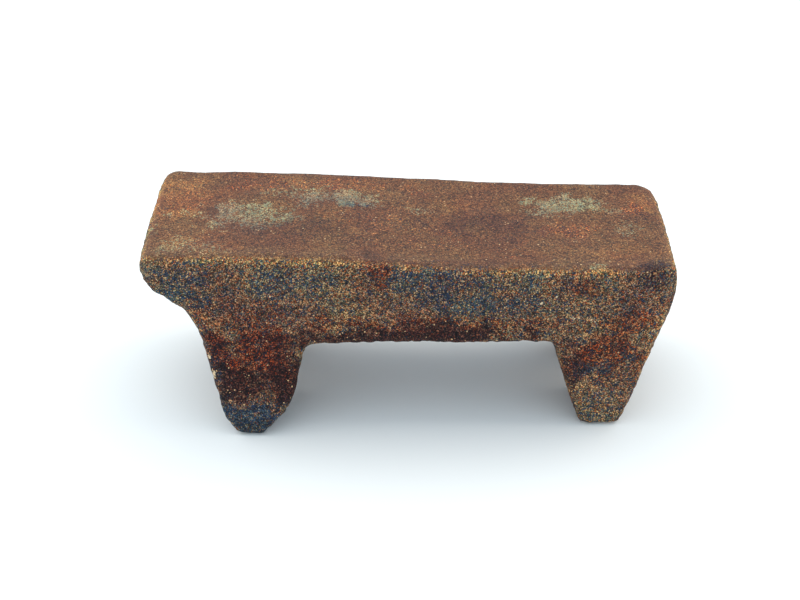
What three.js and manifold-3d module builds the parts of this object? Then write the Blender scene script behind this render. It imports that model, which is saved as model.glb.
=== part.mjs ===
// Legged grinding stone: a footed saddle quern, one block of stone carved as a slab on four feet.
// Millimetres. +X runs along the slab, +Y to its back, +Z up; the four soles stand on Z = 0.
import * as THREE from 'three';
import { TessellateModifier } from 'three/addons/modifiers/TessellateModifier.js';
import { mergeVertices } from 'three/addons/utils/BufferGeometryUtils.js';
import Module from 'manifold-3d';

const { clamp, lerp, mapLinear, smoothstep } = THREE.MathUtils;

// The slab
const LEFT_END = -146.3;         // the overhanging end
const RIGHT_END = 148.8;         // the end flush with its feet
const DEPTH_AT_LEFT = 111.8;     // front face to back face
const DEPTH_AT_RIGHT = 106.3;
const DEPTH = (DEPTH_AT_LEFT + DEPTH_AT_RIGHT) / 2;
const TOP_AT_LEFT = 111.4;       // height of the working surface, which falls to the right
const TOP_AT_RIGHT = 103.4;
const TOP_STEPS = 14;            // facets along the working surface
const HOLLOW = 0.9;              // its wear across the middle
const BACK_RISE = 2;             // its back edge stands higher than the front at mid-length
const UNDERSIDE = 58.7;          // between the feet
const END_BOW = 1.8;             // the left end's face swells this far at the middle
const LARGEST_FACET = 24;        // on the front and back faces
const ARRIS = 4.5;               // round-over of the long edges and of the feet's front and back edges

// Each pair of feet, seen from the front: where its tapering sides start and end
const LEFT_FEET = { outerTop: -118, outerSole: -103, innerSole: -80.5, ankle: -67, innerTop: -57.5 };
const RIGHT_FEET = { outerTop: 140.5, outerSole: 122.5, innerSole: 100, ankle: 92.5, innerTop: 82 };
const ANKLE_HEIGHT = 21;         // where the inner sides flare out from the narrow soles
const STEP_FORWARD = 11;         // the left front foot stands this far in front of the slab
const BATTER = 4;                // the back feet's soles stand this far inside the slab

// The archway between the front and back feet, seen from the end
const ARCH_CENTRE = 56;
const ARCH_HEIGHT = 49;
const ARCH_HALF_SPRING = 11.5;   // half its width where the arch springs
const ARCH_HALF_SOLE = 15;       // half its width just above the soles
const MOUTH = 5;                 // round-over where the archway meets the sides of the feet

const wasm = await Module();
wasm.setup();

// A closed outline from [x, y, radius] corners, each corner rounded off by an arc of its radius
function roundedOutline(corners) {
  const shape = new THREE.Shape();
  corners.forEach(([x, y, radius], i) => {
    if (radius === 0) {
      shape.lineTo(x, y);
      return;
    }
    const corner = new THREE.Vector2(x, y);
    const before = new THREE.Vector2(...corners.at(i - 1)).sub(corner).normalize();
    const after = new THREE.Vector2(...corners[(i + 1) % corners.length]).sub(corner).normalize();
    const halfAngle = Math.acos(before.dot(after)) / 2;
    const reach = radius / Math.tan(halfAngle);
    const towardsCentre = before.clone().add(after).setLength(radius / Math.sin(halfAngle));
    const centre = corner.clone().add(towardsCentre);
    const start = before.clone().multiplyScalar(reach).sub(towardsCentre).angle();
    const end = after.clone().multiplyScalar(reach).sub(towardsCentre).angle();
    shape.absarc(centre.x, centre.y, radius, start, end, before.cross(after) > 0);
  });
  return shape.closePath();
}

function bend(geometry, move) {
  const { position } = geometry.attributes;
  const point = new THREE.Vector3();
  for (let i = 0; i < position.count; i += 1) {
    move(point.fromBufferAttribute(position, i));
    position.setXYZ(i, point.x, point.y, point.z);
  }
  return geometry;
}

// The working surface stands highest at the left, drops past the middle and lifts a little at the
// right end
function topHeight(x) {
  const fall = (1 + Math.tanh((x + 10) / 45)) / 2;
  return lerp(TOP_AT_LEFT, TOP_AT_RIGHT, fall) + 1.4 * smoothstep(x, 100, RIGHT_END);
}

function workingSurface() {
  return Array.from({ length: TOP_STEPS - 1 }, (_, i) => {
    const x = lerp(RIGHT_END, LEFT_END, (i + 1) / TOP_STEPS);
    return [x, topHeight(x), 0];
  });
}

function underside() {
  return [-30, 0, 30, 58].map((x) => [x, UNDERSIDE + 0.8 * Math.sin(x / 24), 0]);
}

// The front view, carried through the depth: slab, overhang and the sides of all four feet
function frontProfile() {
  const [l, r] = [LEFT_FEET, RIGHT_FEET];
  const outline = roundedOutline([
    [LEFT_END, topHeight(LEFT_END), 6],
    [LEFT_END, 98.5, 7],
    [-140.5, 91, 30],
    [-124.5, 77, 8],
    [l.outerTop, 66, 60],
    [l.outerSole, 0, 11],
    [l.innerSole, 0, 8],
    [l.ankle, ANKLE_HEIGHT, 40],
    [l.innerTop, UNDERSIDE, 10],
    ...underside(),
    [r.innerTop, UNDERSIDE, 10],
    [r.ankle, ANKLE_HEIGHT, 70],
    [r.innerSole, 0, 7],
    [r.outerSole, 0, 7],
    [r.outerTop, 60, 150],
    [RIGHT_END, 86, 50],
    [RIGHT_END, topHeight(RIGHT_END), 6],
    ...workingSurface(),
  ]);
  const geometry = new THREE.ExtrudeGeometry(outline, {
    depth: DEPTH - 2 * ARRIS,
    steps: 7,
    bevelThickness: ARRIS,
    bevelSize: ARRIS,
    bevelOffset: -ARRIS,
    bevelSegments: 3,
    curveSegments: 2,
  });
  geometry.rotateX(Math.PI / 2).translate(0, DEPTH - ARRIS, 0);
  return new TessellateModifier(LARGEST_FACET, 12).modify(geometry);
}

// The plan, which only trims the four rounded corners and the edge above them
function planProfile() {
  const [left, right, front, back] = [LEFT_END - 3, RIGHT_END + 3, -3, DEPTH + 3];
  const outline = roundedOutline([[left, front, 19], [right, front, 19], [right, back, 24], [left, back, 21]]);
  const geometry = new THREE.ExtrudeGeometry(outline, {
    depth: 120,
    steps: 5,
    bevelThickness: 7,
    bevelSize: 7,
    bevelOffset: -7,
    bevelSegments: 3,
    curveSegments: 3,
  });
  geometry.translate(0, 0, -127);
  return bend(geometry, (p) => {
    p.z += topHeight(p.x) + 1.5;
  });
}

// The archway's section, drawn from the end and swept along the length
function archSection() {
  return roundedOutline([
    [-ARCH_HALF_SOLE - 8, -6, 1],
    [ARCH_HALF_SOLE + 8, -6, 1],
    [ARCH_HALF_SOLE, 5, 6],
    [ARCH_HALF_SPRING, 34, 12],
    [ARCH_HALF_SPRING - 3, ARCH_HEIGHT, 7],
    [-ARCH_HALF_SPRING + 3, ARCH_HEIGHT, 7],
    [-ARCH_HALF_SPRING, 34, 12],
    [-ARCH_HALF_SOLE, 5, 6],
  ]);
}

function alongX(geometry) {
  return geometry.rotateX(Math.PI / 2).rotateZ(Math.PI / 2).translate(0, ARCH_CENTRE, 0);
}

// The archway through the whole stone
function plainArch() {
  const length = RIGHT_END - LEFT_END + 20;
  const geometry = new THREE.ExtrudeGeometry(archSection(), {
    depth: length,
    steps: 9,
    bevelEnabled: false,
    curveSegments: 2,
  });
  return alongX(geometry).translate(LEFT_END - 10, 0, 0);
}

// The same archway opened out at both mouths, fitted between the tapering sides of one pair of feet
function flaredArch(feet) {
  const length = 50;
  const geometry = alongX(new THREE.ExtrudeGeometry(archSection(), {
    depth: length - 2 * MOUTH,
    steps: 2,
    bevelThickness: MOUTH,
    bevelSize: -MOUTH,
    bevelOffset: MOUTH,
    bevelSegments: 3,
    curveSegments: 2,
  })).translate(MOUTH, 0, 0);
  return bend(geometry, (p) => {
    const outer = lerp(feet.outerSole, feet.outerTop, p.z / 60);
    const inner = p.z < ANKLE_HEIGHT
      ? lerp(feet.innerSole, feet.ankle, p.z / ANKLE_HEIGHT)
      : lerp(feet.ankle, feet.innerTop, (p.z - ANKLE_HEIGHT) / (UNDERSIDE - ANKLE_HEIGHT));
    p.x = mapLinear(p.x, 0, length, Math.min(inner, outer) - 1.2, Math.max(inner, outer) + 1.2);
  });
}

// Bends the squared-up stone into the one carved by hand
function handCarve(p) {
  const { x, y, z } = p;
  const across = clamp(y / DEPTH, 0, 1);
  const low = 1 - smoothstep(z, 0, 56);

  const rise = BACK_RISE * across * Math.exp(-((x / 45) ** 2)) - HOLLOW * Math.sin(Math.PI * across);
  p.z += smoothstep(z, UNDERSIDE, TOP_AT_RIGHT) * rise;
  p.y *= mapLinear(x, LEFT_END, RIGHT_END, DEPTH_AT_LEFT, DEPTH_AT_RIGHT) / DEPTH;
  p.y -= STEP_FORWARD * low * (1 - smoothstep(x, -66, 0)) * (1 - smoothstep(y, 20, 50));
  p.y -= BATTER * low * smoothstep(y, 60, DEPTH);

  p.x -= END_BOW * smoothstep(-x, 60, -LEFT_END) * Math.sin(Math.PI * across);

  // The waviness of faces dressed by hand; the soles stay flat
  const offSole = smoothstep(z, 0, 14);
  p.x += 0.5 * Math.sin(y / 17 + z / 23 + 0.4) + 0.3 * Math.sin(z / 9 - y / 31);
  p.y += 0.5 * Math.sin(x / 19 + z / 21) + 0.35 * Math.sin(x / 8.5 - z / 14 + 1.1);
  p.z += offSole * (0.35 * Math.sin(x / 15 + y / 23 + 2) + 0.25 * Math.sin(x / 7 - y / 12));
}

function carvedSolid(geometry) {
  geometry.deleteAttribute('uv');
  geometry.deleteAttribute('normal');
  const welded = mergeVertices(bend(geometry, handCarve), 1e-4);
  return new wasm.Manifold(new wasm.Mesh({
    numProp: 3,
    vertProperties: new Float32Array(welded.attributes.position.array),
    triVerts: new Uint32Array(welded.index.array),
  }));
}

const carved = carvedSolid(frontProfile())
  .intersect(carvedSolid(planProfile()))
  .subtract(carvedSolid(plainArch()))
  .subtract(carvedSolid(flaredArch(LEFT_FEET)))
  .subtract(carvedSolid(flaredArch(RIGHT_FEET)))
  .getMesh();

const stone = new THREE.BufferGeometry();
stone.setAttribute('position', new THREE.BufferAttribute(carved.vertProperties, 3));
stone.setIndex(new THREE.BufferAttribute(carved.triVerts, 1));
stone.computeBoundingBox();
const { min, max } = stone.boundingBox;
stone.translate(-(min.x + max.x) / 2, -(min.y + max.y) / 2, 0);

const group = new THREE.Group();
const quern = new THREE.Mesh(
  stone,
  new THREE.MeshStandardMaterial({ color: 0x735c4b, roughness: 0.85, metalness: 0 }),
);
quern.name = 'quern';
group.add(quern);
export default group;
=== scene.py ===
# %% [markdown]
# # A footed grinding stone
#
# The object is one block of coarse brown stone, carved as a long slab on four tapered feet. On a
# stone like this, grain or pigment was laid on the long top and rubbed with a second stone held
# in both hands. So the top is worn smooth, while the sides keep the rough skin left by the
# mason's point.
#
# The solid model gives us the right size and outline, but it is smooth and made of flat facets.
# In this lesson we grow a finer skin over it, roughen and chip that skin as the stone is
# roughened, and then give it its grains and stains with a node material.

# %% Load the solid model
import math

import bpy
import numpy as np
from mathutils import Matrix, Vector, noise


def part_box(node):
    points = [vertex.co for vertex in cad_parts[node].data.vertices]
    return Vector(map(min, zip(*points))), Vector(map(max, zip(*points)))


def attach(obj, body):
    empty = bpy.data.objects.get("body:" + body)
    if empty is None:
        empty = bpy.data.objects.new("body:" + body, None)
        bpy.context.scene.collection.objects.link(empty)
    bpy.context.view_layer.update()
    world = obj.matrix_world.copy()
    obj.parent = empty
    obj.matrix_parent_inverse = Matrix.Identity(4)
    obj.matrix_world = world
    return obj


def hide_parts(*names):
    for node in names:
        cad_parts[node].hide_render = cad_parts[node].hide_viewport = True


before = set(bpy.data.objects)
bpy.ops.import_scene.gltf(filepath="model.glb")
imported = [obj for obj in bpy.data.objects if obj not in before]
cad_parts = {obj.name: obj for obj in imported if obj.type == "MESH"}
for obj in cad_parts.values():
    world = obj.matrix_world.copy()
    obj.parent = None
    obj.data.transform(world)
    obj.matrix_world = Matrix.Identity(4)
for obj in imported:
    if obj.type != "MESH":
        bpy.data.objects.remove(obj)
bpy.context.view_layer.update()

low, high = (Vector(corner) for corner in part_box("quern"))
mm = 0.001
print("stone, mm:", [round(size / mm, 1) for size in high - low])

# %% [markdown]
# ## Light and camera first
#
# We set up the studio before the stone, so that every later step can be judged in the same light.
# A stone like this is shown on a pale table under three big soft lamps: one each side and a
# little behind, and one overhead. The top then takes most of the light, the front face falls into
# half shade, and the shadow stays under the slab. The lamps are slightly warm and the air around
# them slightly blue, so shaded stone and shadow turn cool.
#
# A softbox is simply an area light: the bigger it is, the softer the edge of its shadow. The
# alternative, a sky picture wrapped round the scene, would be softer still, but it gives no
# control over where the shadow falls.

# %% The camera
LOOK_DOWN = 31  # degrees below level
CAMERA_PLACE = (-0.0053, -0.7555, 0.5086)
LENS = 66.95

camera_data = bpy.data.cameras.new("camera")
camera_data.sensor_width = 36.0
camera_data.lens = LENS
camera_data.clip_start = 0.01
camera_data.dof.use_dof = False

camera = bpy.data.objects.new("camera", camera_data)
camera.location = CAMERA_PLACE
camera.rotation_euler = (math.radians(90 - LOOK_DOWN), 0, 0)
bpy.context.collection.objects.link(camera)
bpy.context.scene.camera = camera
print("camera looks down by", LOOK_DOWN, "degrees")

# %% Lamps and air
def softbox(name, place, width, watts, tint):
    """A square area lamp that looks at the middle of the stone."""
    light = bpy.data.lights.new(name, "AREA")
    light.shape = "SQUARE"
    light.size = width
    light.energy = watts
    light.color = tint
    lamp = bpy.data.objects.new(name, light)
    lamp.location = place
    aim = Vector((0, 0, 0.06)) - Vector(place)
    lamp.rotation_euler = aim.to_track_quat("-Z", "Y").to_euler()
    bpy.context.collection.objects.link(lamp)
    print(name, "shines from", place)

softbox("left_lamp", (-0.85, 0.20, 0.75), width=0.7, watts=2.9, tint=(1.0, 0.96, 0.88))
softbox("right_lamp", (0.85, 0.20, 0.75), width=0.7, watts=2.9, tint=(1.0, 0.86, 0.70))
softbox("top_lamp", (0.0, 0.30, 1.25), width=1.0, watts=3.2, tint=(1.0, 0.92, 0.80))

world = bpy.data.worlds.new("studio_air")
world.use_nodes = True
air = world.node_tree.nodes["Background"]
air.inputs["Color"].default_value = (0.77, 0.90, 1.0, 1.0)
air.inputs["Strength"].default_value = 1.25
bpy.context.scene.world = world

# The plain view keeps the colours as they are mixed, with no film look over them.
bpy.context.scene.view_settings.view_transform = "Standard"

# %% The table
bpy.ops.mesh.primitive_plane_add(size=16.0, location=(0, 0, 0))
table = bpy.context.object
table.name = "table"
pale = bpy.data.materials.new("pale_table")
pale.use_nodes = True
tabletop = pale.node_tree.nodes["Principled BSDF"]
tabletop.inputs["Base Color"].default_value = (0.87, 0.86, 0.84, 1.0)
tabletop.inputs["Roughness"].default_value = 0.9
table.data.materials.append(pale)
print("table:", round(table.dimensions.x, 1), "metres wide")

# %% [markdown]
# ## A fine skin over the solid
#
# The solid's facets are up to two centimetres across: too coarse to roughen. We copy its mesh and
# let a voxel remesh rebuild it from small, even squares, a little over a millimetre wide. Cutting
# every facet into smaller ones would also work, but it keeps the long thin facets of the solid,
# and those show as streaks once the surface is moved.
#
# The remesh leaves fine steps and crisp corners. A few rounds of smoothing take both away, which
# is right for a stone whose edges have been handled and knocked for centuries.

# %% Copy and remesh
VOXEL = 1.32 * mm

stone = bpy.data.objects.new("stone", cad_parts["quern"].data.copy())
bpy.context.collection.objects.link(stone)

def apply_modifiers(piece):
    """Freezes a piece's modifiers into its mesh."""
    depsgraph = bpy.context.evaluated_depsgraph_get()
    piece.data = bpy.data.meshes.new_from_object(piece.evaluated_get(depsgraph))
    piece.modifiers.clear()

weld = stone.modifiers.new("weld", "WELD")
weld.merge_threshold = 0.01 * mm
remesh = stone.modifiers.new("even_squares", "REMESH")
remesh.mode = "VOXEL"
remesh.voxel_size = VOXEL
smooth = stone.modifiers.new("worn_edges", "SMOOTH")
smooth.factor = 0.5
smooth.iterations = 4
apply_modifiers(stone)
print("skin:", len(stone.data.vertices), "points,", len(stone.data.polygons), "squares")

# %% [markdown]
# ## Where the stone is worn and where it is rough
#
# Every later step needs to know what kind of surface it is on. We read each point's place and the
# way it faces, and turn them into two numbers from 0 to 1: `worn` is 1 on the rubbed top and
# fades out over the rounded edge, and `edge` is 1 along the rim of the top, where knocks land.

# %% Read the skin
skin = stone.data
count = len(skin.vertices)
place = np.empty(count * 3)
skin.vertices.foreach_get("co", place)
place = place.reshape(-1, 3)
facing = np.empty(count * 3)
skin.vertex_normals.foreach_get("vector", facing)
facing = facing.reshape(-1, 3)

def ramp(value, start, end):
    """0 below start, 1 above end, and a smooth S between them."""
    t = np.clip((value - start) / (end - start), 0.0, 1.0)
    return t * t * (3 - 2 * t)

TOP_FROM = 80 * mm
FRONT_STRIP = (-50 * mm, -34 * mm)  # rubbed less than the rest of the top
STRIP_WORN = 0.62

height = place[:, 2]
upward = facing[:, 2]
worn = ramp(upward, 0.55, 0.97) * ramp(height, TOP_FROM, 95 * mm)
worn *= STRIP_WORN + (1 - STRIP_WORN) * ramp(place[:, 1], *FRONT_STRIP)
edge = ramp(upward, 0.15, 0.5) * (1 - ramp(upward, 0.8, 0.98)) * ramp(height, TOP_FROM, 90 * mm)
off_sole = ramp(height, 0.3 * mm, 3.0 * mm)
print("worn top:", round(float(worn.mean()), 3), "of the skin; rim:", round(float(edge.mean()), 3))

# %% [markdown]
# ## Roughening the skin
#
# Four things shape a dressed stone at this scale: the slow waves left by the mason's hand, the
# pecking of the point, pits where a soft grain has dropped out, and chips along the rim. Each is
# a pattern in space that says how far every point moves along the way it faces. Doing it on the
# mesh rather than in the material means the outline is rough too, and the shape survives
# anywhere.

# %% Patterns in space
PIT_REACH = 0.42  # a pit's radius, as a share of its cell
SHUFFLE = 7.31    # spreads the cells' centres before each one draws its number

def pattern(points, size, shift=0.0):
    """Smooth noise from about -1 to 1 whose bumps are `size` metres across."""
    move = Vector((shift, 1.7 * shift, -0.6 * shift))
    return np.array([noise.noise(Vector(p) / size + move) for p in points])

def pits(points, size, chance, shift=0.0):
    """Round hollows about `size` across, 1 at the middle and 0 outside; `chance` of them exist."""
    found = np.zeros(len(points))
    move = Vector((shift, -shift, 0.3 * shift))
    for i, p in enumerate(points):
        at = Vector(p) / size + move
        distances, centres = noise.voronoi(at)
        if noise.cell(centres[0] * SHUFFLE) < chance:
            found[i] = max(0.0, 1.0 - distances[0] / PIT_REACH)
    return found

waves = pattern(place, 34 * mm) + 0.5 * pattern(place, 15 * mm, 3.1)
pecking = pattern(place, 5.2 * mm, 7.7) + 0.8 * pattern(place, 2.9 * mm, 1.3)
dropped = pits(place, 5.0 * mm, 0.30)
small_pits = pits(place, 3.2 * mm, 0.32, 5.0)
print("pecking from", round(float(pecking.min()), 2), "to", round(float(pecking.max()), 2))

# %% Chips along the rim
# Lost chips have flat floors, so the hollows are cut off at full depth.
chip_spots = pits(place, 11 * mm, 0.30, 9.0)
chips = edge * np.minimum(1.0, 1.6 * chip_spots)
print("chipped points:", int((chips > 0.3).sum()))

# %% [markdown]
# ## Under the slab
#
# Between the feet the slab hangs a little lower than the solid has it, and its lower edge is
# nicked where the mason broke the waste away. We pick out the skin that faces down at that
# height, then keep the sag to the stretch between the feet so that it blends into them.

# %% The underside of the slab
LEFT_END = (-64 * mm, -52 * mm)
RIGHT_END = (70 * mm, 84 * mm)

underside = ramp(-upward, -0.35, 0.5) * ramp(height, 46 * mm, 56 * mm)
nicks = underside * pits(place, 9 * mm, 0.35, 13.0)
between_feet = ramp(place[:, 0], *LEFT_END) * (1 - ramp(place[:, 0], *RIGHT_END))
belly = underside * between_feet
print("nicked points under the slab:", int((nicks > 0.3).sum()))

# %% [markdown]
# ## Moving the skin
#
# Now every pattern gets a height or a depth in millimetres. All of them are weaker on the worn
# top, because rubbing has planed the high parts away. The small lift at the start makes up for
# what the smoothing took off.

# %% Heights and depths
LIFT = 0.5
ROUGH_LIFT = 0.25
BELLY_SAG = 2.3
WAVE_HEIGHT = 0.32
PECK_HEIGHT = 0.42
DROPPED_DEPTH = 0.85
SMALL_PIT_DEPTH = 0.55
CHIP_DEPTH = 0.9
NICK_DEPTH = 1.1

rough = 1 - worn

def mostly_rough(left_on_top):
    """Full strength on the rough skin, and only this share of it on the worn top."""
    return left_on_top + (1 - left_on_top) * rough

print("a pit is", round(DROPPED_DEPTH * float(mostly_rough(0.08).min()), 2), "mm deep on the top")

# %% Move every point
depth = (
    LIFT + ROUGH_LIFT * rough + BELLY_SAG * belly
    + WAVE_HEIGHT * waves * mostly_rough(0.10) * (1 - 0.7 * edge)
    + PECK_HEIGHT * pecking * mostly_rough(0.10)
    - DROPPED_DEPTH * dropped * mostly_rough(0.08)
    - SMALL_PIT_DEPTH * small_pits * mostly_rough(0.12)
    - CHIP_DEPTH * chips - NICK_DEPTH * nicks
) * mm
place = place + facing * (depth * off_sole)[:, None]
print("moved by", round(float(depth.min() / mm), 2), "to", round(float(depth.max() / mm), 2), "mm")

# %% [markdown]
# ## Far rim, toe and soles
#
# Three last corrections are easier as direct moves than as patterns. The far rim of the top rises
# and falls by a millimetre along its length, the left front foot narrows to a blunt toe, and the
# soles must stay flat on the table, whatever the roughening did.

# %% The far rim, the left front toe and the soles
RIM_ALONG = [-150, -105, -88, -10, 20, 55, 95, 120, 150]
RIM_LIFT = [0, -0.5, -1.1, -1.1, -0.3, 0.9, 0.9, 0.2, 0]
far_rim = ramp(place[:, 1], 20 * mm, 50 * mm) * ramp(height, 85 * mm, 98 * mm)
place[:, 2] += np.interp(place[:, 0] / mm, RIM_ALONG, RIM_LIFT) * mm * far_rim

TOE_MIDDLE = -91 * mm
TOE_NARROWING = 0.22
toe = (1 - ramp(height, 1 * mm, 15 * mm)) * (place[:, 0] < 0) * (place[:, 1] < 0)
place[:, 0] += toe * TOE_NARROWING * (TOE_MIDDLE - place[:, 0])

on_table = height < 0.6 * mm
place[:, 2] = np.where(on_table, 0.0, np.maximum(place[:, 2], 0.0))
skin.vertices.foreach_set("co", place.ravel())
skin.update()
skin.shade_smooth()
skin.calc_loop_triangles()
print("the skin has", len(skin.loop_triangles), "triangles")

# %% [markdown]
# ## Stains and painted shade, mapped one by one
#
# The stone is not one brown. Rusty red shows on the feet, pale grey-green bloom lies in clouds on
# the top, and dark blue-grey crust sits in the rough of the front. Noise alone would put such
# stains anywhere, so we keep a short list of places for each kind, measured in millimetres on the
# stone, and let noise only ragged their borders. The list of dark soil also holds painted shade:
# under the slab, along its lower front edge and on the inner edges of the front feet. The result
# is stored on the mesh as one number per point for each list; the material reads those numbers
# later.

# %% A stain from a list of places
FADE = (0.45, 1.35)  # where a stain starts to fade and where it ends, in its own widths

def stain(places, ragged=0.8, grain=13 * mm):
    """How strong a kind of stain is at every point: 1 inside its places, fading raggedly to 0."""
    border = pattern(place, grain, 2.2) + 0.7 * pattern(place, grain / 3, 4.4)
    strength = np.zeros(count)
    for x, y, z, wide, deep, tall, most in places:
        away = (place / mm - (x, y, z)) / (wide, deep, tall)
        reach = np.sqrt((away ** 2).sum(axis=1)) + ragged * border
        strength = np.maximum(strength, most * (1 - ramp(reach, *FADE)))
    return strength

def store(name, values):
    """Keeps a number for every point on the mesh, under a name that a material can read."""
    layer = skin.attributes.new(name, "FLOAT", "POINT")
    layer.data.foreach_set("value", values.astype(np.float32))
    print(name, "covers", round(100 * float((values > 0.3).mean()), 2), "% of the skin")

# %% Pale bloom
# Each place is x, y, z, then how wide, deep and tall it is, then how strong.
PALE_BLOOM = [
    (-93, 0, 107, 30, 21, 8, 0.75),
    (-60, 27, 107, 24, 10, 8, 0.8),
    (-38, 24, 107, 21, 11, 8, 0.9),
    (93, 26, 107, 24, 12, 8, 0.85),
    (74, 31, 107, 12, 5, 8, 0.6),
    (110, 22, 107, 12, 7, 8, 0.6),
    (102, -46, 107, 8, 4, 8, 0.6),
    (-124, -36, 108, 20, 13, 8, 0.35),
    (10, 14, 107, 12, 5, 8, 0.3),
    (124, 0, 107, 10, 12, 8, 0.3),
    (-143, -34, 100, 8, 20, 12, 0.5),
]
store("pale_bloom", stain(PALE_BLOOM))

# %% Rust
RUST = [
    (-131, 22, 108, 22, 30, 10, 0.18),
    (-86, -58, 50, 30, 16, 17, 1.0),
    (-72, -54, 38, 14, 12, 16, 0.75),
    (108, -50, 46, 24, 14, 14, 0.75),
    (122, -51, 72, 16, 8, 10, 0.55),
    (-16, -51, 103, 7, 6, 4, 0.6),
    (-17, -51, 95, 6, 6, 3, 0.6),
    (98, -51, 95, 8, 8, 6, 0.5),
    (90, 0, 107, 22, 10, 8, 0.4),
    (131, 22, 107, 6, 7, 8, 0.6),
    (0, -4, 107, 70, 28, 8, 0.18),
    (-60, 38, 107, 60, 12, 8, 0.32),
    (10, -51, 67, 80, 12, 9, 0.5),
    (-98, -52, 74, 26, 10, 12, 0.4),
    (-90, 52, 44, 30, 14, 20, 0.6),
    (110, 50, 48, 24, 14, 18, 0.6),
    (20, 54, 84, 50, 10, 16, 0.5),
]
store("rust", stain(RUST))

# %% Blue-grey crust
BLUE_CRUST = [
    (2, -51, 101, 12, 8, 7, 0.65),
    (14, -51, 91, 15, 8, 8, 0.5),
    (34, -51, 82, 19, 8, 8, 0.65),
    (62, -51, 82, 22, 8, 8, 0.5),
    (30, -51, 98, 50, 8, 8, 0.35),
    (-71, -51, 95, 26, 8, 12, 0.4),
    (-130, -46, 86, 20, 20, 9, 0.7),
    (-128, -50, 97, 16, 12, 9, 0.5),
    (-89, -52, 6, 26, 36, 15, 1.05),
    (-111, -50, 39, 6, 12, 9, 0.7),
    (106, -50, 40, 11, 8, 6, 0.8),
    (123, -50, 46, 6, 8, 5, 0.8),
    (110, -46, 14, 26, 26, 22, 0.3),
    (137, -50, 99, 10, 12, 8, 0.5),
    (-140, 20, 90, 14, 50, 14, 0.6),
    (-60, 54, 90, 40, 10, 12, 0.7),
    (96, 52, 84, 26, 10, 14, 0.6),
    (-35, 17, 107, 10, 4, 6, 0.7),
]
store("blue_crust", stain(BLUE_CRUST))

# %% Dark soiling and painted shade
SOIL_AND_PAINTED_SHADE = [
    # Dark soil, except the places marked below as painted shade.
    (138, -50, 99, 9, 12, 9, 0.55),
    (134, -47, 105, 7, 5, 4, 0.7),
    (134, 9, 107, 8, 7, 8, 0.55),
    (-87, -60, 33, 28, 14, 10, 1.0),
    # Painted shade: the inner edge of the left front foot, under the slab.
    (-68, -56, 45, 8, 14, 20, 0.7),
    (-96, -60, 23, 6, 8, 4, 0.9),
    # Painted shade: the lower band of the front face, where it curves under the slab.
    (10, -49, 59, 74, 12, 9, 1.0),
    (49, 1, 107, 32, 16, 8, 0.45),
    (-62, -18, 107, 28, 13, 8, 0.45),
    # Painted shade: the inner edge of the right front foot.
    (92, -48, 36, 6, 12, 30, 0.6),
    # Painted shade: the whole underside of the slab.
    (0, 0, 56, 160, 60, 8, 0.5),
]
store("soil_and_painted_shade", stain(SOIL_AND_PAINTED_SHADE))

# %% Warm clouds and fresh chips
WARM_CLOUD = [
    (-131, 22, 108, 24, 30, 12, 1.0),
    (-117, -30, 108, 26, 14, 12, 0.6),
    (-60, 42, 107, 60, 10, 12, 0.5),
    (30, 22, 107, 20, 9, 12, 0.5),
    (90, 0, 107, 22, 10, 12, 0.5),
    (135, 24, 107, 10, 14, 12, 0.9),
    (116, -30, 107, 24, 12, 12, 0.5),
    (106, -50, 18, 24, 24, 20, 0.75),
    (112, -50, 50, 20, 14, 16, 0.35),
    (140, -40, 66, 14, 24, 32, 0.95),
]
store("warm_cloud", stain(WARM_CLOUD))
FRESH_CHIPS = [
    (-113, -50, 48, 1.1, 2.5, 2.2, 0.9),
    (-111, -52, 37, 1.0, 2.5, 2.6, 0.9),
    (73, -51, 84, 1.0, 3, 1.0, 0.9),
    (81, -51, 88, 1.0, 3, 0.9, 0.8),
    (92, -51, 73, 4.0, 3, 1.2, 0.28),
    (102, -51, 71, 2.0, 3, 1.2, 0.38),
    (-77, -51, 88, 1.0, 3, 1.0, 0.7),
]
store("fresh_chips", stain(FRESH_CHIPS, 0.3, 4 * mm))

# %% Rim, wear and painted shade in the hollows
store("rim", edge)
store("worn", worn)
# Painted shade: the pits and the low parts of the pecking, darkened in the colour later.
painted_hollow_shade = 0.9 * dropped + 0.7 * small_pits - 0.35 * np.minimum(pecking, 0)
store("painted_hollow_shade", np.clip(painted_hollow_shade, 0, 1))

# %% [markdown]
# ## A material made of grains
#
# The stone looks like a coarse sandstone: its colour is really thousands of grains, each of one
# colour, between half a millimetre and two across. A Voronoi texture splits space into cells and
# gives each cell its own random colour, which is just what grains need. We do not use that random
# colour itself: we use it as a lottery number. One part of it picks a colour from a palette, and
# another part decides, together with the stain maps, which palette the grain belongs to. So a
# stain is a place where more grains are rusty or blue, and its border breaks up grain by grain.

# %% Helpers for building the material
stone_paint = bpy.data.materials.new("grainy_stone")
stone_paint.use_nodes = True
tree = stone_paint.node_tree
shader = tree.nodes["Principled BSDF"]

def node(kind, settings=(), **inputs):
    """Adds a node. Each input is a plain value or the output of another node."""
    made = tree.nodes.new(kind)
    for key, value in dict(settings).items():
        setattr(made, key, value)
    for name, value in inputs.items():
        plug(made.inputs[name.replace("_", " ")], value)
    return made

def plug(socket, value):
    """Joins another node's output to a socket, or sets the socket to a plain value."""
    if isinstance(value, bpy.types.NodeSocket):
        tree.links.new(value, socket)
    else:
        socket.default_value = value

def calc(operation, *values, clamp=False):
    """A math node, with its values in order."""
    made = node("ShaderNodeMath", {"operation": operation, "use_clamp": clamp})
    for socket, value in zip(made.inputs, values):
        plug(socket, value)
    return made.outputs[0]

def mix(factor, a, b, blend="MIX"):
    """Mixes two colours."""
    made = node("ShaderNodeMix", {"data_type": "RGBA", "blend_type": blend})
    plug(made.inputs[0], factor)
    plug(made.inputs[6], a)
    plug(made.inputs[7], b)
    return made.outputs[2]

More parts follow.
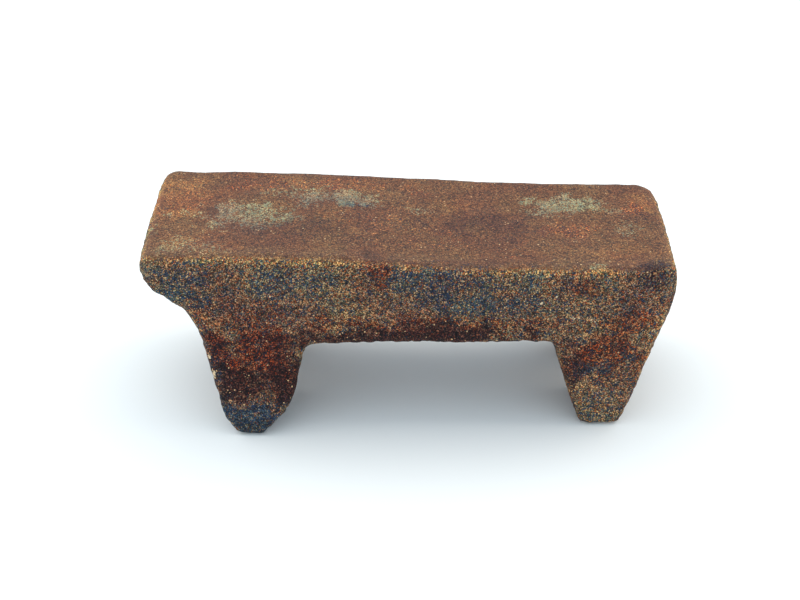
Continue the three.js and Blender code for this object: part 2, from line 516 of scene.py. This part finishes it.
def mesh_number(name):
    """Reads one of the numbers stored on the mesh."""
    return node("ShaderNodeAttribute", {"attribute_name": name}).outputs["Fac"]

where = node("ShaderNodeTexCoord").outputs["Object"]
print("patterns follow", where.name, "space, so they stay with the stone")

# %% Colours
def colour(red, green, blue, gain=(1, 1, 1)):
    """Turns a screen colour, 0 to 255, into the light a surface sends back."""
    light = [((c / 255 + 0.055) / 1.055) ** 2.4 if c > 10 else c / 255 / 12.92
             for c in (red, green, blue)]
    return (*[min(0.95, g * c) for g, c in zip(gain, light)], 1.0)

def palette(lottery, entries, gain):
    """Picks one colour per grain; each entry is its share of the grains and its colour."""
    made = node("ShaderNodeValToRGB", Fac=lottery)
    made.color_ramp.interpolation = "CONSTANT"
    stops = made.color_ramp.elements
    total = sum(share for share, _ in entries)
    start = 0.0
    for i, (share, rgb) in enumerate(entries):
        stop = stops[i] if i < 2 else stops.new(start)
        stop.position = start
        stop.color = colour(*rgb, gain)
        start += share / total
    return made.outputs["Color"]

print("mid grey sends back", round(colour(128, 128, 128)[0], 3), "of the light")

# %% [markdown]
# ## Grains, and why they cluster
#
# Two sizes of grain lie over each other: the fine one picks the colour and the coarse one makes
# it lighter or darker. A little noise bends the straight walls between cells. A second, slow
# noise is added to the fine grains' lottery numbers, so neighbours tend to draw numbers near each
# other. As the palettes run from blue through brown to orange, that makes loose clusters of like
# colour, as minerals do in real stone, in place of an even speckle.

# %% Clusters and grains
COARSE_GRAIN = 1.4 * mm
FINE_GRAIN = 0.66 * mm
BEND = 0.7 * mm
CLUSTERS = 300.0  # clusters to the metre, so each is about 3 mm across
PULL = 1.1  # how strongly neighbours draw like numbers

wobble = node("ShaderNodeTexNoise", Vector=where, Scale=700.0, Detail=1.0)
bent = node("ShaderNodeVectorMath", {"operation": "MULTIPLY_ADD"})
plug(bent.inputs[0], wobble.outputs["Color"])
plug(bent.inputs[1], (BEND, BEND, BEND))
plug(bent.inputs[2], where)

def grains(size):
    """Cells of space about `size` metres across: three lottery numbers and the cell's dome."""
    cells = node("ShaderNodeTexVoronoi", Vector=bent.outputs[0], Scale=1 / size)
    numbers = node("ShaderNodeSeparateColor", Color=cells.outputs["Color"])
    return *numbers.outputs, cells.outputs["Distance"]

coarse_a, _, _, coarse_dome = grains(COARSE_GRAIN)
fine_a, fine_b, fine_c, fine_dome = grains(FINE_GRAIN)
cluster = node("ShaderNodeTexNoise", Vector=where, Scale=CLUSTERS, Detail=2.0).outputs["Fac"]
drift = calc("MULTIPLY_ADD", cluster, PULL, -PULL / 2)
lottery = calc("ADD", fine_a, drift, clamp=True)
print("two sizes of grain, drawn towards their neighbours")

# %% [markdown]
# ## Palettes
#
# A palette lists the colours its grains can have, each with its share. The rough skin is the most
# mixed: slate blue, olive, tan, orange and nearly black. The worn top has the same stone, planed
# and evened by rubbing, so its colours lie closer together. The gains turn the listed colours
# into what the surface sends back under these lamps.

# %% Palettes
ROUGH_GAIN = (1.17, 1.05, 0.91)
TOP_GAIN = (0.66, 0.455, 0.325)
PALE_GAIN = (1.02, 0.93, 0.70)

rough_grain = palette(lottery, [
    (0.11, (40, 54, 80)), (0.05, (24, 18, 22)), (0.10, (86, 96, 92)), (0.09, (146, 128, 108)),
    (0.05, (84, 88, 58)), (0.11, (94, 70, 56)), (0.07, (26, 17, 16)), (0.09, (76, 54, 46)),
    (0.09, (162, 132, 104)), (0.12, (152, 84, 46)), (0.06, (92, 38, 38)), (0.06, (194, 154, 112)),
], ROUGH_GAIN)
worn_grain = palette(fine_a, [
    (0.2, (130, 94, 70)), (0.18, (150, 108, 76)), (0.16, (106, 72, 54)), (0.14, (168, 130, 96)),
    (0.12, (84, 58, 52)), (0.08, (116, 104, 90)), (0.06, (58, 38, 36)), (0.06, (188, 154, 116)),
], TOP_GAIN)
rust_grain = palette(lottery, [
    (0.12, (32, 36, 62)), (0.11, (18, 10, 16)), (0.16, (68, 22, 23)), (0.10, (166, 92, 46)),
    (0.20, (100, 38, 23)), (0.08, (16, 10, 12)), (0.13, (190, 98, 38)), (0.10, (202, 138, 88)),
], ROUGH_GAIN)
blue_grain = palette(fine_c, [
    (0.28, (44, 58, 80)), (0.25, (76, 88, 96)), (0.18, (30, 34, 50)), (0.17, (104, 112, 110)),
    (0.12, (92, 68, 52)),
], ROUGH_GAIN)
pale_grain = palette(fine_c, [
    (0.3, (150, 136, 112)), (0.25, (132, 130, 118)), (0.25, (112, 124, 120)),
    (0.2, (178, 158, 132)),
], PALE_GAIN)
# Dark grains for the soil and for the painted shade under the slab and the feet's inner edges.
dark_grain = palette(fine_c, [
    (0.35, (56, 28, 32)), (0.25, (16, 11, 20)), (0.2, (92, 52, 46)), (0.2, (120, 84, 66)),
], ROUGH_GAIN)
print("six palettes")

# %% Which palette each grain belongs to
GRAIN_BORDER = 12.0  # how sharply a grain goes to one palette or the other

def chosen(name, number, most=1.0):
    """1 where a grain's lottery number falls under the stain's strength, else 0."""
    margin = calc("SUBTRACT", calc("MULTIPLY", mesh_number(name), most), number)
    return calc("MULTIPLY", margin, GRAIN_BORDER, clamp=True)

worn_here = mesh_number("worn")
paint = mix(worn_here, rough_grain, worn_grain)
paint = mix(chosen("rust", fine_b, 0.85), paint, rust_grain)
paint = mix(chosen("blue_crust", fine_c, 0.7), paint, blue_grain)
paint = mix(chosen("pale_bloom", fine_b, 0.8), paint, pale_grain)
# Dark grains go to the soil and to the painted shade under the slab.
paint = mix(chosen("soil_and_painted_shade", fine_b, 0.75), paint, dark_grain)
print("grains of four stains drawn over the bare stone")

# %% [markdown]
# ## Thin stains and painted shade
#
# Rust and dirt don't only swap grains: they also soak into the ones between, and so does the
# painted shade on the dirt's list. That part is a glaze, a see-through colour that multiplies
# what lies under it. A tint above 1 lightens instead, which suits the warm clouds and the rim,
# where handling has rubbed the dark skin off.

# %% Thin stains and painted shade over all the grains
def glaze(name, under, tint, most=1.0):
    """A see-through stain: multiplies the grains by a tint where the mesh number is high."""
    strength = calc("MULTIPLY", mesh_number(name), most, clamp=True)
    return mix(strength, under, (*tint, 1.0), "MULTIPLY")

rough_here = calc("SUBTRACT", 1.0, worn_here)
paint = glaze("rust", paint, tint=(0.70, 0.48, 0.49), most=calc("MULTIPLY", rough_here, 1.1))
# Dark glaze over the soil and over the painted shade under the slab and the feet's inner edges.
paint = glaze("soil_and_painted_shade", paint, tint=(0.58, 0.48, 0.54))
paint = glaze("blue_crust", paint, tint=(0.60, 0.96, 1.17), most=0.8)
paint = glaze("warm_cloud", paint, tint=(1.54, 1.50, 1.26))
paint = glaze("rim", paint, tint=(1.62, 1.54, 1.20))
print("five glazes")

# %% [markdown]
# ## Light and shade between grains
#
# Three things still vary from place to place. Each coarse grain is a little lighter or darker
# than the next, the gaps between fine grains are darkened as painted shade, and slow clouds of
# tone drift over the whole stone. The hollows are darkened as painted shade too. The grains and
# the gaps are fainter on the worn top, which rubbing has evened out.

# %% Coarse grains, and painted shade in the hollows and gaps
def multiply(paint_in, amount):
    """Makes a colour lighter or darker."""
    scale = node("ShaderNodeVectorMath", {"operation": "SCALE"})
    plug(scale.inputs[0], paint_in)
    plug(scale.inputs["Scale"], amount)
    return scale.outputs[0]

spread = calc("MULTIPLY_ADD", worn_here, -0.35, 0.6)
paint = multiply(paint, calc("MULTIPLY_ADD", calc("SUBTRACT", coarse_a, 0.5), spread, 1.0))
# Painted shade: the colour is darker in the hollows.
paint = multiply(paint, calc("MULTIPLY_ADD", mesh_number("painted_hollow_shade"), -0.45, 1.0))

# Painted light and shade: a grain's middle is painted a little lighter than its colour, and the
# edge round it much darker, as painted shade between the grains.
painted_grain_light_and_shade = node("ShaderNodeMapRange", {"interpolation_type": "SMOOTHSTEP"}, Value=fine_dome,
           From_Min=0.22, From_Max=0.72, To_Min=0.24, To_Max=-0.62).outputs[0]
ground_flat = calc("MULTIPLY_ADD", worn_here, -0.55, 1.0)
paint = multiply(paint, calc("MULTIPLY_ADD", painted_grain_light_and_shade, ground_flat, 1.0))
print("nodes so far:", len(tree.nodes))

# %% Clouds of tone
CLOUDS = 34.0  # clouds to the metre, so each is about 3 cm across
CLOUD_TINTS = [
    (0.34, (0.78, 0.76, 0.90)), (0.45, (0.96, 0.88, 0.88)),
    (0.54, (1.0, 1.03, 1.0)), (0.66, (1.12, 1.26, 1.18)),
]

cloud = node("ShaderNodeTexNoise", Vector=where, Scale=CLOUDS, Detail=4.0).outputs["Fac"]
hue = node("ShaderNodeValToRGB", Fac=cloud)
for i, (position, tint) in enumerate(CLOUD_TINTS):
    stop = hue.color_ramp.elements[i] if i < 2 else hue.color_ramp.elements.new(position)
    stop.position = position
    stop.color = (*tint, 1.0)
paint = mix(1.0, paint, hue.outputs["Color"], "MULTIPLY")
print("clouds in", len(CLOUD_TINTS), "tints")

# %% Sparkle and fresh chips
SPARKLES = 0.006  # share of the fine grains that catch the light
WORN_AWAY = 0.004  # how much of that share the worn top loses

sparkle = calc("GREATER_THAN", fine_c, calc("MULTIPLY_ADD", worn_here, WORN_AWAY, 1 - SPARKLES))
paint = mix(sparkle, paint, colour(205, 165, 120))
paint = mix(chosen("fresh_chips", fine_b), paint, colour(216, 188, 150))
plug(shader.inputs["Base Color"], paint)
print("colour is made of", len(tree.nodes), "nodes")

# %% [markdown]
# ## Shine and fine relief
#
# Rough stone scatters light and hardly shines; the rubbed top has a faint sheen, so it gets a
# lower roughness. The skin's mesh is too coarse for single grains, so their domes come from a
# bump, at a depth of half a millimetre and less on the worn top. Everything larger is in the mesh
# itself.

# %% Shine and grain relief
ROUGH_STONE = 0.92
SHEEN = 0.22
DOME_HEIGHT = 0.5 * mm

plug(shader.inputs["Roughness"], calc("MULTIPLY_ADD", worn_here, -SHEEN, ROUGH_STONE))
shader.inputs["Specular IOR Level"].default_value = 0.35

relief = calc("ADD", coarse_dome, calc("MULTIPLY", fine_dome, 0.5))
flatter_on_top = calc("MULTIPLY_ADD", worn_here, -0.5, 0.8)
bump = node("ShaderNodeBump", {"invert": True}, Height=relief, Strength=flatter_on_top,
            Distance=DOME_HEIGHT)
plug(shader.inputs["Normal"], bump.outputs["Normal"])
stone.data.materials.clear()
stone.data.materials.append(stone_paint)
print("material nodes:", len(tree.nodes))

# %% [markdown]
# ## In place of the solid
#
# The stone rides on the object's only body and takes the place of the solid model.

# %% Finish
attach(stone, "root")
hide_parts("quern")
